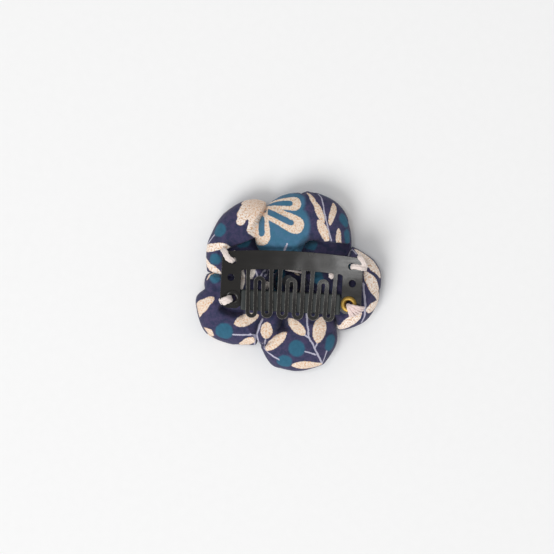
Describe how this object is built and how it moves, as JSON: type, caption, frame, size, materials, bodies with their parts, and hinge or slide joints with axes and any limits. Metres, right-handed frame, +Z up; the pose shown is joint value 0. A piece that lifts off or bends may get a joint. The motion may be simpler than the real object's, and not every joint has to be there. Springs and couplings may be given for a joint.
{
  "type": "flower hair clip",
  "caption": "Padded fabric flower sewn to a curved steel snap comb clip that folds shut on a lock of hair.",
  "frame": {"origin": "on the surface the flower lies on, under the middle of its outline", "axes": "+X along the clip, +Y towards the clip's band, +Z up out of the flower's back, towards the wearer's head"},
  "size_m": [0.041, 0.0404, 0.0127],
  "materials": {
    "painted_steel": "satin",
    "brass": "polished",
    "sleeve": "satin",
    "printed_cotton": "woven",
    "thread": "twisted",
    "wadding": "fleecy",
    "button_cover": "woven",
    "bare_steel": "brushed"
  },
  "bodies": {
    "flower_and_clip": {"spring_frame": "painted_steel", "lower_bar": "painted_steel", "grip_sleeve": "sleeve", "eyelet_left": "painted_steel", "eyelet_right": "brass", "petal_top_left": "printed_cotton", "petal_top_right": "printed_cotton", "petal_right": "printed_cotton", "petal_bottom": "printed_cotton", "petal_lower_left": "printed_cotton", "wadding_top_left": "wadding", "wadding_top_right": "wadding", "wadding_right": "wadding", "wadding_bottom": "wadding", "wadding_lower_left": "wadding", "gathering_thread": "thread", "centre_button": "button_cover", "button_shank": "bare_steel", "stitch_top_left": "thread", "stitch_top_right": "thread", "stitch_bottom_left": "thread", "stitch_bottom_right": "thread", "thread_knot": "thread"},
    "comb": {"comb_left": "painted_steel", "comb_middle": "painted_steel", "comb_right": "painted_steel"}
  },
  "joints": [
    {"name": "comb_snap", "type": "hinge", "parent": "flower_and_clip", "child": "comb", "pos_m": [0.00059, 0.00228, 0.01075], "axis": [-1, 0, 0], "range_deg": [0, 30]}
  ]
}
